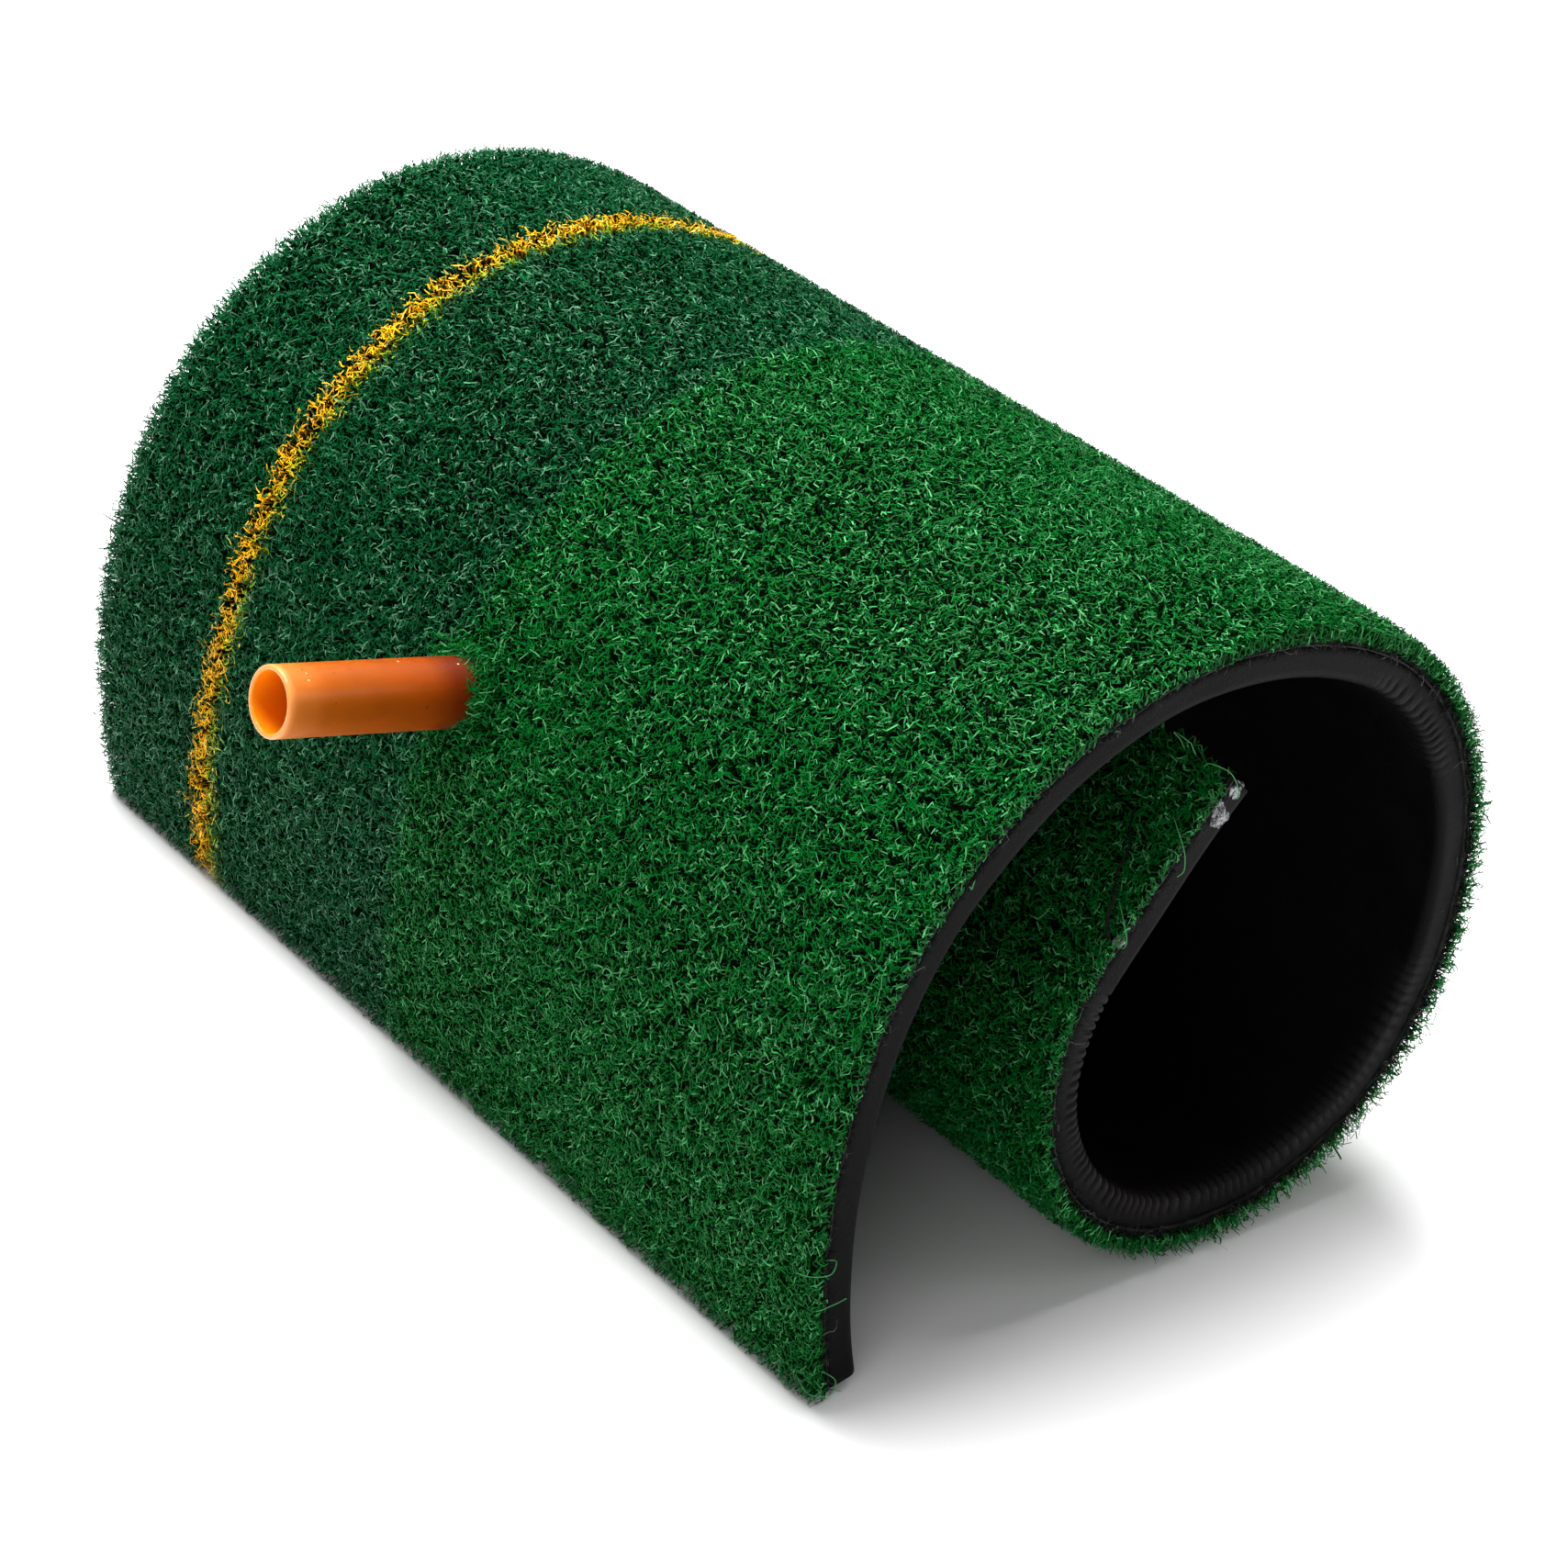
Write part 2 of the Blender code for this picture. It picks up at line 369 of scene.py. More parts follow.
def flecks(tree, place, scale, edge, core, rarity):
    """Small scattered flecks: how much of one is here, and a random number for each."""
    cells = node(tree, "ShaderNodeTexVoronoi", [("Vector", place), ("Scale", scale)])
    near = ranged(tree, cells.outputs["Distance"], from_min=edge, from_max=core)
    own = node(tree, "ShaderNodeSeparateColor", [("Color", cells.outputs["Color"])]).outputs
    chosen = calculated(tree, "GREATER_THAN", own[0], rarity)
    return calculated(tree, "MULTIPLY", near, chosen), own[1]


def bump(tree, strength, distance, height):
    inputs = [("Strength", strength), ("Distance", distance), ("Height", height)]
    return node(tree, "ShaderNodeBump", inputs).outputs[0]


def attribute(tree, name):
    return node(tree, "ShaderNodeAttribute", attribute_name=name).outputs["Fac"]


def own_place(tree):
    return node(tree, "ShaderNodeTexCoord").outputs["Object"]


foam_material, foam_shader = new_material("closed_cell_foam", {"Specular IOR Level": 0.07})
tree = foam_material.node_tree
place = own_place(tree)
cloud = noise(tree, 60.0, 5.0, place, Roughness=0.7)
tone = ranged(tree, cloud, from_min=0.3, from_max=0.75)
black = mixed(tree, tone, (0.0004, 0.0004, 0.0005, 1.0), (0.0022, 0.0021, 0.0024, 1.0))
dusty, _ = flecks(tree, place, 190.0, 0.075, 0.05, 0.985)
dusted = mixed(tree, dusty, black, (0.30, 0.29, 0.27, 1.0))
# The painted sheen turns the creased lip's colour grey-brown and also lowers its roughness.
worn = attribute(tree, "worn")
sheen_painted = mixed(tree, worn, dusted, (0.0100, 0.0082, 0.0088, 1.0))
dull = ranged(tree, cloud, to_min=0.48, to_max=0.70)
polish = calculated(tree, "MULTIPLY_ADD", worn, -0.14, dull)
cells = node(tree, "ShaderNodeTexVoronoi", [("Vector", place), ("Scale", 2600.0)])
relief = calculated(tree, "ADD", cells.outputs["Distance"], noise(tree, 900.0, 3.0, place))
tree.links.new(sheen_painted, foam_shader.inputs["Base Color"])
tree.links.new(polish, foam_shader.inputs["Roughness"])
tree.links.new(bump(tree, 0.35, 0.00025, relief), foam_shader.inputs["Normal"])

foam_surface, foam_worn = foam_points(foam_along)
foam_mesh = grid_mesh("foam", foam_surface, closed=True, worn=foam_worn)
foam_mesh.materials.append(foam_material)
foam = add_object("foam", foam_mesh)
hole_for_tee(foam)
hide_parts("foam_base")
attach(foam, "mat")


# ---- Glue and woven backing --------------------------------------------------------------
# The turf is bonded to the foam with a thin cloudy film of hot-melt glue. Its own backing
# is a black plastic weave with latex on it, cut off level with the foam.

GLUE = (0.0001, 0.0006)
BACKING = (0.0008, 0.0018)
LAYER_STEP = 0.0015
LAYER_WAVE = (0.0003, 0.019)
WEAVE_PITCH = 0.0012


def add_layer(name, offsets, phase, material):
    """A thin closed sheet between two offsets, with slightly uneven cut edges."""
    along = np.append(np.arange(0.0, MAT_LENGTH, LAYER_STEP), MAT_LENGTH)
    low, high = offsets
    corners = ((-1, low), (-1, high), (0, high), (1, high), (1, low), (0, low))
    points = []
    for side, offset in corners:
        across = side * (HALF_WIDTH + wavy(along, *LAYER_WAVE, phase + side))
        points.append(on_roll(along, across, offset))
    stacked = np.stack(points, axis=1)
    mesh = grid_mesh(name, stacked, closed=True, along=along[:, None], across=stacked[:, :, 1])
    mesh.materials.append(material)
    layer = add_object(name, mesh)
    hole_for_tee(layer)
    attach(layer, "mat")
    return layer


glue_material, glue_shader = new_material(
    "hot_melt_glue", {"Roughness": 0.55, "Specular IOR Level": 0.15}
)
tree = glue_material.node_tree
streak = noise(tree, 240.0, 4.0, own_place(tree))
cloudy = ranged(tree, streak, from_min=0.45, from_max=0.75)
glue_colour = mixed(tree, cloudy, (0.0015, 0.0015, 0.0015, 1.0), (0.022, 0.022, 0.020, 1.0))
tree.links.new(glue_colour, glue_shader.inputs["Base Color"])
tree.links.new(bump(tree, 0.5, 0.0003, streak), glue_shader.inputs["Normal"])


def weave_group():
    """A shader group: the height of a plain weave of flat tapes, from the mat's own
    distances along and across."""
    group = bpy.data.node_groups.new("plain_weave", "ShaderNodeTree")
    pitch = group.interface.new_socket("Pitch", in_out="INPUT", socket_type="NodeSocketFloat")
    pitch.default_value = WEAVE_PITCH
    group.interface.new_socket("Height", in_out="OUTPUT", socket_type="NodeSocketFloat")
    inside = group.nodes.new("NodeGroupInput")
    waves = []
    for name in ("along", "across"):
        turns = calculated(group, "DIVIDE", attribute(group, name), inside.outputs[0])
        waves.append(calculated(group, "SINE", calculated(group, "MULTIPLY", turns, math.pi)))
    level = ranged(group, calculated(group, "MULTIPLY", *waves), from_min=-1.0, from_max=1.0)
    outside = group.nodes.new("NodeGroupOutput")
    group.links.new(level, outside.inputs[0])
    return group


backing_material, backing_shader = new_material(
    "woven_backing", {"Roughness": 0.8, "Specular IOR Level": 0.08}
)
tree = backing_material.node_tree
weave = node(tree, "ShaderNodeGroup", node_tree=weave_group()).outputs[0]
latex = noise(tree, 300.0, 3.0, own_place(tree))
backing_colour = mixed(tree, latex, (0.0015, 0.002, 0.0015, 1.0), (0.009, 0.011, 0.009, 1.0))
tree.links.new(backing_colour, backing_shader.inputs["Base Color"])
tree.links.new(bump(tree, 0.8, 0.0003, weave), backing_shader.inputs["Normal"])

glue = add_layer("glue", GLUE, 0.7, glue_material)
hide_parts("glue_film")
backing = add_layer("backing", BACKING, 2.1, backing_material)
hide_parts("turf_backing")


# ---- Pile ------------------------------------------------------------------------------
# The turf is a dense pile of flat nylon ribbons, crimped so that each stands up curled,
# tufted through the backing in strips of light green, dark green and yellow. The strips'
# borders are ragged, and at the cut edges the ribbons are shorter and stand closer.

PILE_FOOT = 0.0016
PILE_DENSITY = 1.16e6
PILE_HEIGHT = 0.0056
BLADE_LENGTH = 0.0092
BLADE_WIDTH = 0.00038
BLADE_CURL = 0.0021
BLADE_TILT = 0.38
BLADE_KNEE = 0.55
BLADE_DROOP = (1.3, 2.8, 1.5)
BLADE_CRIMP = (7.0, 2.2, 1.0)
BLADE_NARROWING = 0.45
BLADE_SIZES = ((0.8, 0.8, 0.72), (1.2, 1.2, 1.12))
EDGE_LEAN = 0.0004
EDGE_REACH = 0.006
EDGE_TRIM = 0.28
EDGE_STRIP = 0.0030
EDGE_DENSITY = 1.3e6
EDGE_HEIGHT = 0.0052
FRINGE_FACE = (0.0008, 0.0021)
FRINGE_DENSITY = 2.6e6
FRINGE_LENGTH = 0.0042
FRINGE_REACH = 0.0015
FRINGE_LIFT = 0.0030
SHEET_STEP = 0.0020
NAP = 0.0005
BORDER_WAVES = ((0.0004, 0.007), (0.0003, 0.031))
TEE_CLEARANCE = 0.0085
TEE_CLEARED = 0.030
NO_LIMIT = 10.0
TEE_COLLAR = 0.0055
COLLAR_LEAN = 0.0030
COLLAR_RISE = 0.5
TUFT_REACH = 0.0120
TUFT_DENSITY = 2.6e6
TUFT_LENGTH = 0.0130
TUFT_HEIGHT = 0.0072
FLOOR_CLEARANCE = 0.0002
LIGHT_TO_DARK = 0.009
YELLOW_MIDDLE = 0.0923
YELLOW_HALF = 0.0037
YELLOW_FLARE = 0.0016
YELLOW_GREENER = (0.0921, 0.0893)
YELLOW_DENSITY = 0.78e6
LINE_DRIFT = 0.0072
LINE_DRIFT_LENGTH = 0.080
MIXED = 0.0010


def pile_tree():
    """The Geometry Nodes tree that grows crimped ribbons on a sheet."""
    tree = bpy.data.node_groups.new("crimped_pile", "GeometryNodeTree")
    tree.is_modifier = True
    for name, kind in (
        ("Sheet", "Geometry"),
        ("Density", "Float"),
        ("Blade Length", "Float"),
        ("Blade Width", "Float"),
        ("Pile Height", "Float"),
        ("Curl", "Float"),
        ("Tilt", "Float"),
        ("Seed", "Int"),
        ("Tee Point", "Vector"),
        ("Tee Axis", "Vector"),
        ("Tee Clearance", "Float"),
        ("Tee Reach", "Float"),
        ("Collar Lean", "Float"),
        ("Floor", "Float"),
        ("Material", "Material"),
    ):
        tree.interface.new_socket(name, in_out="INPUT", socket_type="NodeSocket" + kind)
    tree.interface.new_socket("Pile", in_out="OUTPUT", socket_type="NodeSocketGeometry")
    given = tree.nodes.new("NodeGroupInput").outputs

    def maths(operation, *values):
        return calculated(tree, operation, *values)

    def vectors(operation, *values, output=0):
        made = node(tree, "ShaderNodeVectorMath", enumerate(values), operation=operation)
        return made.outputs[output]

    def scaled(vector, factor):
        inputs = [("Vector", vector), ("Scale", factor)]
        return node(tree, "ShaderNodeVectorMath", inputs, operation="SCALE").outputs[0]

    def moved(geometry, socket, place):
        inputs = [("Geometry", geometry), (socket, place)]
        return node(tree, "GeometryNodeSetPosition", inputs).outputs[0]

    def stored(geometry, name, value, kind="FLOAT"):
        inputs = [("Geometry", geometry), ("Name", name), ("Value", value)]
        made = node(
            tree, "GeometryNodeStoreNamedAttribute", inputs, data_type=kind, domain="POINT"
        )
        return made.outputs[0]

    def named(name, kind="FLOAT"):
        made = node(tree, "GeometryNodeInputNamedAttribute", [("Name", name)], data_type=kind)
        return next(s for s in made.outputs if s.enabled)

    def random(low, high, offset, kind="FLOAT"):
        seed = maths("ADD", given["Seed"], offset)
        inputs = [("Min", low), ("Max", high), ("Seed", seed)]
        made = node(tree, "FunctionNodeRandomValue", inputs, data_type=kind)
        return next(s for s in made.outputs if s.enabled)

    roots = node(
        tree,
        "GeometryNodeDistributePointsOnFaces",
        [("Mesh", given["Sheet"]), ("Density", given["Density"]), ("Seed", given["Seed"])],
    )
    position = node(tree, "GeometryNodeInputPosition").outputs[0]
    from_tee = vectors("SUBTRACT", position, given["Tee Point"])
    up_tee = vectors("PROJECT", from_tee, given["Tee Axis"])
    beside_tee = vectors("SUBTRACT", from_tee, up_tee)
    elsewhere = maths("GREATER_THAN", vectors("LENGTH", up_tee, output=1), TEE_CLEARED)
    tee_distance = maths("ADD", vectors("LENGTH", beside_tee, output=1), elsewhere)
    under_tee = maths("LESS_THAN", tee_distance, given["Tee Clearance"])
    beyond_reach = maths("GREATER_THAN", tee_distance, given["Tee Reach"])
    unwanted = maths("MAXIMUM", under_tee, beyond_reach)
    inputs = [("Geometry", roots.outputs["Points"]), ("Selection", unwanted)]
    clear = node(tree, "GeometryNodeDeleteGeometry", inputs)
    tinted = stored(clear.outputs[0], "tint", random(0.0, 1.0, 11))
    rooted = stored(tinted, "root", position, "FLOAT_VECTOR")
    facing = stored(rooted, "out", roots.outputs["Normal"], "FLOAT_VECTOR")
    beyond = maths("SUBTRACT", tee_distance, given["Tee Clearance"])
    ends = [("From Min", 0.0), ("From Max", TEE_COLLAR), ("To Min", 1.0), ("To Max", 0.0)]
    collar = node(
        tree,
        "ShaderNodeMapRange",
        [("Value", beyond), *ends],
        interpolation_type="SMOOTHSTEP",
    )
    hugging = stored(facing, "collar", collar.outputs[0])

    inputs = [("Size X", 1.0), ("Size Y", 1.0), ("Vertices X", 2), ("Vertices Y", 5)]
    strip = node(tree, "GeometryNodeMeshGrid", inputs)
    flat = node(tree, "ShaderNodeSeparateXYZ", [(0, position)]).outputs
    rise = maths("POWER", maths("ADD", flat[1], 0.5), BLADE_KNEE)
    ribbon = stored(strip.outputs["Mesh"], "rise", rise)
    taper = maths("MULTIPLY_ADD", maths("POWER", named("rise"), 6.0), -BLADE_NARROWING, 1.0)
    wide = maths("MULTIPLY", maths("MULTIPLY", flat[0], given["Blade Width"]), taper)
    tall = maths("MULTIPLY", named("rise"), given["Blade Length"])
    upright = node(tree, "ShaderNodeCombineXYZ", [("X", wide), ("Z", tall)])
    blade = moved(ribbon, "Position", upright.outputs[0])

    tilts = enumerate((given["Tilt"], given["Tilt"], math.pi))
    tilt = node(tree, "ShaderNodeCombineXYZ", tilts).outputs[0]
    turn = random(scaled(tilt, -1.0), tilt, 23, "FLOAT_VECTOR")
    turned = node(tree, "FunctionNodeEulerToRotation", [("Euler", turn)])
    stance = node(
        tree,
        "FunctionNodeRotateRotation",
        [("Rotation", roots.outputs["Rotation"]), ("Rotate By", turned.outputs[0])],
        rotation_space="LOCAL",
    )
    size = random(*BLADE_SIZES, 37, "FLOAT_VECTOR")
    placing = [("Instance", blade), ("Rotation", stance.outputs[0]), ("Scale", size)]
    standing = node(tree, "GeometryNodeInstanceOnPoints", [("Points", hugging), *placing])
    real = node(tree, "GeometryNodeRealizeInstances", [("Geometry", standing.outputs[0])])

    row = maths("MULTIPLY", named("tint"), 977.0)

    def wander(turns, size, power):
        """A random swing of each ribbon, changing along it and growing towards its tip."""
        along = maths("MULTIPLY", named("rise"), turns)
        place = node(tree, "ShaderNodeCombineXYZ", [("X", along), ("Y", row)]).outputs[0]
        inputs = [("Vector", place), ("Scale", 1.0), ("Detail", 0.0)]
        wave = node(tree, "ShaderNodeTexNoise", inputs).outputs["Color"]
        grown = maths("MULTIPLY", maths("POWER", named("rise"), power), size)
        return scaled(vectors("SUBTRACT", wave, (0.5, 0.5, 0.5)), grown)

    swings = []
    for turns, share, power in (BLADE_DROOP, BLADE_CRIMP):
        swings.append(wander(turns, maths("MULTIPLY", given["Curl"], share), power))
    to_tee = maths("MULTIPLY", maths("MULTIPLY", named("collar"), given["Collar Lean"]), -1.0)
    hug = scaled(vectors("NORMALIZE", beside_tee), to_tee)
    combed = vectors("ADD", named("lean", "FLOAT_VECTOR"), hug)
    lean = scaled(combed, maths("POWER", named("rise"), 1.5))
    bent = moved(real.outputs[0], "Offset", vectors("ADD", vectors("ADD", *swings), lean))
    outwards = named("out", "FLOAT_VECTOR")
    from_root = vectors("SUBTRACT", position, named("root", "FLOAT_VECTOR"))
    height = vectors("DOT_PRODUCT", from_root, outwards, output=1)
    own = maths("FRACT", maths("MULTIPLY", named("tint"), 31.0))
    own_shear = maths("MULTIPLY_ADD", own, 0.2, 0.9)
    collar_shear = maths("MULTIPLY_ADD", named("collar"), COLLAR_RISE, own_shear)
    trimmed = maths("MULTIPLY", given["Pile Height"], named("trim"))
    top = maths("MULTIPLY", trimmed, collar_shear)
    risen = maths("TANH", maths("MULTIPLY", maths("DIVIDE", height, top), 1.2))
    press = maths("SUBTRACT", maths("MULTIPLY", risen, top), height)
    sheared = moved(bent, "Offset", scaled(outwards, press))
    outside_tube = maths("MAXIMUM", tee_distance, given["Tee Clearance"])
    pushed = maths("SUBTRACT", outside_tube, tee_distance)
    cleared = moved(sheared, "Offset", scaled(vectors("NORMALIZE", beside_tee), pushed))
    at = node(tree, "ShaderNodeSeparateXYZ", [(0, position)]).outputs
    above_floor = maths("MAXIMUM", at[2], given["Floor"])
    lifted = node(tree, "ShaderNodeCombineXYZ", enumerate((at[0], at[1], above_floor)))
    lighter = moved(cleared, "Position", lifted.outputs[0])
    for name in ("root", "out", "lean", "trim", "collar"):
        inputs = [("Geometry", lighter), ("Name", name)]
        lighter = node(tree, "GeometryNodeRemoveAttribute", inputs).outputs[0]
    inputs = [("Geometry", lighter), ("Material", given["Material"])]
    finished = node(tree, "GeometryNodeSetMaterial", inputs)
    node(tree, "NodeGroupOutput", [(0, finished.outputs[0])])
    return tree


crimped_pile = pile_tree()


def grow(obj, material, seed, **changed):
    """Turns obj, a bare sheet, into the pile that stands on it."""
    modifier = obj.modifiers.new("pile", "NODES")
    modifier.node_group = crimped_pile
    values = {
        "Density": PILE_DENSITY,
        "Blade Length": BLADE_LENGTH,
        "Blade Width": BLADE_WIDTH,
        "Pile Height": PILE_HEIGHT,
        "Curl": BLADE_CURL,
        "Tilt": BLADE_TILT,
        "Seed": seed,
        "Tee Point": tee_point,
        "Tee Axis": tee_axis,
        "Tee Clearance": TEE_CLEARANCE,
        "Tee Reach": NO_LIMIT,
        "Collar Lean": COLLAR_LEAN,
        "Floor": FLOOR_CLEARANCE,
        "Material": material,
    }
    values.update({name.replace("_", " ").title(): value for name, value in changed.items()})
    for item in crimped_pile.interface.items_tree:
        if item.name in values:
            modifier[item.identifier] = values[item.name]
    bake_modifiers(obj)


def line_drift(along):
    """How far the yellow line strays outwards near the free end."""
    return LINE_DRIFT * (1 - smooth(along, 0.0, LINE_DRIFT_LENGTH))


def pile_sheet(name, stretch, borders):
    """The bare sheet under a stretch of a strip. Borders are functions of the distance
    along. Its lean says how far the ribbons' tips are combed over."""
    along = np.linspace(stretch[0], stretch[1], int((stretch[1] - stretch[0]) / SHEET_STEP) + 1)
    share = np.linspace(0.0, 1.0, 41)
    low, high = (border(along)[:, None] for border in borders)
    across = low + (high - low) * share
    rows = np.broadcast_to(along[:, None], across.shape)
    points = on_roll(rows, across, PILE_FOOT)
    near_edge = smooth(np.abs(across), HALF_WIDTH - EDGE_REACH, HALF_WIDTH)
    trim = 1 - EDGE_TRIM * near_edge
    mesh = grid_mesh(name, points, across=across - line_drift(rows), along=rows, trim=trim)
    mesh.flip_normals()
    heading = np.interp(rows, roll_along, roll_heading)
    forward = np.stack([np.cos(heading), np.zeros_like(heading), np.sin(heading)], axis=-1)
    sideways = np.sign(across) * near_edge
    ends = smooth(rows, MAT_LENGTH - EDGE_REACH, MAT_LENGTH) - smooth(-rows, -EDGE_REACH, 0.0)
    nap = NAP * np.sin(47 * rows + 31 * across)
    lean = (EDGE_LEAN * ends + nap)[..., None] * forward
    lean[..., 1] += EDGE_LEAN * sideways + NAP * np.sin(61 * across - 23 * rows)
    store(mesh, "lean", lean, "FLOAT_VECTOR")
    return add_object(name, mesh)


def blade_group():
    """A shader group: a ribbon's colour from its root, dark with painted shade of the pile's depth,
    to its tip; some ribbons get a painted glint towards the tip.
    """
    group = bpy.data.node_groups.new("ribbon_colour", "ShaderNodeTree")
    for name in ("Root", "Tip", "Glint"):
        group.interface.new_socket(name, in_out="INPUT", socket_type="NodeSocketColor")
    group.interface.new_socket("Glint Share", in_out="INPUT", socket_type="NodeSocketFloat")
    group.interface.new_socket("Colour", in_out="OUTPUT", socket_type="NodeSocketColor")
    given = group.nodes.new("NodeGroupInput").outputs
    tint = attribute(group, "tint")
    # Painted shade: the ribbon darkens from its tip down to its root, as the pile's depth is
    # shaded.
    inputs = [("Value", attribute(group, "rise")), ("From Min", 0.1), ("From Max", 0.8)]
    lit = node(group, "ShaderNodeMapRange", inputs, interpolation_type="SMOOTHSTEP").outputs[0]
    body = mixed(group, lit, given["Root"], given["Tip"])
    # Painted highlight: a share of the ribbons turns to the glint colour where the ribbon is lit.
    dull_share = calculated(group, "SUBTRACT", 1.0, given["Glint Share"])
    painted_glint = calculated(group, "MULTIPLY", calculated(group, "GREATER_THAN", tint, dull_share), lit)
    glinting = mixed(group, painted_glint, body, given["Glint"])
    own = calculated(group, "FRACT", calculated(group, "MULTIPLY", tint, 7.3))
    value = ranged(group, own, to_min=0.65, to_max=1.35)
    varied = node(group, "ShaderNodeHueSaturation", [("Value", value), ("Color", glinting)])
    outside = group.nodes.new("NodeGroupOutput")
    group.links.new(varied.outputs[0], outside.inputs[0])
    return group


ribbon_colour = blade_group()


def pile_material(name, root, tip, glint, glint_share):
    material, shader = new_material(name, {"Roughness": 0.36, "Specular IOR Level": 0.03})
    tree = material.node_tree
    ribbon = node(tree, "ShaderNodeGroup", node_tree=ribbon_colour)
    colours = [(*colour, 1.0) for colour in (root, tip, glint)]
    for socket, value in zip(ribbon.inputs, (*colours, glint_share)):
        socket.default_value = value
    tree.links.new(ribbon.outputs[0], shader.inputs["Base Color"])
    return material, ribbon


# In each pile the root colour is painted shade of the pile's depth and the glint colour a painted
# highlight.
light_pile, _ = pile_material(
    "light_green_pile", (0.0001, 0.018, 0.0010), (0.0016, 0.100, 0.013), (0.060, 0.290, 0.095), 0.17
)
dark_pile, _ = pile_material(
    "dark_green_pile", (0.0001, 0.011, 0.0018), (0.0018, 0.064, 0.017), (0.070, 0.215, 0.110), 0.16
)
yellow_pile, yellow_ribbon = pile_material(
    "yellow_pile", (0.001, 0.003, 0.0002), (0.86, 0.42, 0.006), (0.95, 0.62, 0.08), 0.10
)
tree = yellow_pile.node_tree
greener_from, greener_to = YELLOW_GREENER
inwards = ranged(tree, attribute(tree, "across"), from_min=greener_from, from_max=greener_to)
tip_colour = mixed(tree, inwards, (0.86, 0.42, 0.006, 1.0), (0.24, 0.36, 0.008, 1.0))
tree.links.new(tip_colour, yellow_ribbon.inputs["Tip"])


def ragged(across, phase, spread, drift_share=1.0, flare=0.0):
    """A strip's border at this distance across, slightly uneven. Near the free end it
    drifts outwards with the yellow line, which is wider there by the flare."""

    def border(along):
        uneven = sum(wavy(along, *wave, phase) for wave in BORDER_WAVES)
        share = drift_share + flare / LINE_DRIFT
        return across + spread + share * line_drift(along) + uneven

    return border


def straight(across):
    return lambda along: np.full_like(along, across)


line_low, line_high = YELLOW_MIDDLE - YELLOW_HALF, YELLOW_MIDDLE + YELLOW_HALF
near_cut, far_cut = straight(-HALF_WIDTH), straight(HALF_WIDTH)
strips = (
    (
        "pile_light", "light_green_pile", light_pile, 5,
        near_cut, ragged(LIGHT_TO_DARK, 0.0, MIXED, 0.5),
    ),
    (
        "pile_dark_inner", "dark_green_pile", dark_pile, 3,
        ragged(LIGHT_TO_DARK, 0.0, -MIXED, 0.5), ragged(line_low, 1.0, 0.0),
    ),
    (
        "pile_yellow_line", "yellow_pile", yellow_pile, 1,
        ragged(line_low, 1.0, -MIXED, flare=-YELLOW_FLARE),
        ragged(line_high, 2.0, MIXED, flare=YELLOW_FLARE),
    ),
    (
        "pile_dark_outer", "dark_green_pile", dark_pile, 2,
        ragged(line_high, 2.0, 0.0), far_cut,
    ),
)
seed = 0
for cad_node, slot, material, lengths, *borders in strips:
    cuts = np.linspace(0.0, MAT_LENGTH, lengths + 1)
    for stretch in zip(cuts, cuts[1:]):
        seed += 1
        strip = pile_sheet(f"turf_{slot.split('_')[0]}_{seed}", stretch, borders)
        density = YELLOW_DENSITY if material == yellow_pile else PILE_DENSITY
        grow(strip, material, seed, density=density)
        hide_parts(cad_node)
        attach(strip, "mat")


def edge_sheet(name, side, offsets, outwards=0.0):
    """The bare strip of the cut edge between two offsets. Outwards says how far the tips
    of what grows on it turn up, away from the foam."""
    along = np.arange(0.0, MAT_LENGTH, SHEET_STEP)
    rows = np.stack([along, along], axis=-1)
    mesh = grid_mesh(name, on_roll(rows, side * HALF_WIDTH, np.array(offsets)), trim=1.0)
    if side < 0:
        mesh.flip_normals()
    heading = np.interp(rows, roll_along, roll_heading)
    away = np.stack([-np.sin(heading), np.zeros_like(heading), np.cos(heading)], axis=-1)
    store(mesh, "lean", away * outwards, "FLOAT_VECTOR")
    return add_object(name, mesh)


# The outermost tufts stand closer, and hang over the backing's cut edge.
for side, name, slot, material in (
    (-1, "near", "light_green_pile", light_pile),
    (1, "far", "dark_green_pile", dark_pile),
):
    inner_border = straight(side * (HALF_WIDTH - EDGE_STRIP))
    outer_border = straight(side * HALF_WIDTH)
    borders = (inner_border, outer_border) if side > 0 else (outer_border, inner_border)
    row = pile_sheet(f"edge_row_{name}", (0.0, MAT_LENGTH), borders)
    grow(row, material, seed + 1, density=EDGE_DENSITY, pile_height=EDGE_HEIGHT)
    fringe = edge_sheet(f"edge_fringe_{name}", side, FRINGE_FACE, FRINGE_LIFT)
    grow(
        fringe,
        material,
        seed + 2,
        density=FRINGE_DENSITY,
        blade_length=FRINGE_LENGTH,
        pile_height=FRINGE_REACH,
    )
    seed += 2
    for piece in (row, fringe):
        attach(piece, "mat")

# Round the tee the ribbons are pushed up and lean against it.
seed += 1
around = (straight(TEE_ACROSS - TUFT_REACH), straight(TEE_ACROSS + TUFT_REACH))
tuft = pile_sheet("tee_collar", (TEE_ALONG - TUFT_REACH, TEE_ALONG + TUFT_REACH), around)
grow(
    tuft,
    light_pile,
    seed,
    density=TUFT_DENSITY,
    blade_length=TUFT_LENGTH,
    pile_height=TUFT_HEIGHT,
    tee_reach=TUFT_REACH,
)
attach(tuft, "mat")


# ---- Frayed backing --------------------------------------------------------------------
# Cutting the mat frays the woven backing: short black threads stick out all along the cut
# edges, between the pile and the foam.

THREAD_LAYERS = (0.0006, 0.0019)
THREAD_DENSITY = 2.6e6
THREAD_LENGTH = 0.0030
THREAD_WIDTH = 0.00018
THREAD_CURL = 0.0026
THREAD_HEIGHT = 0.0013
THREAD_TILT = 1.2

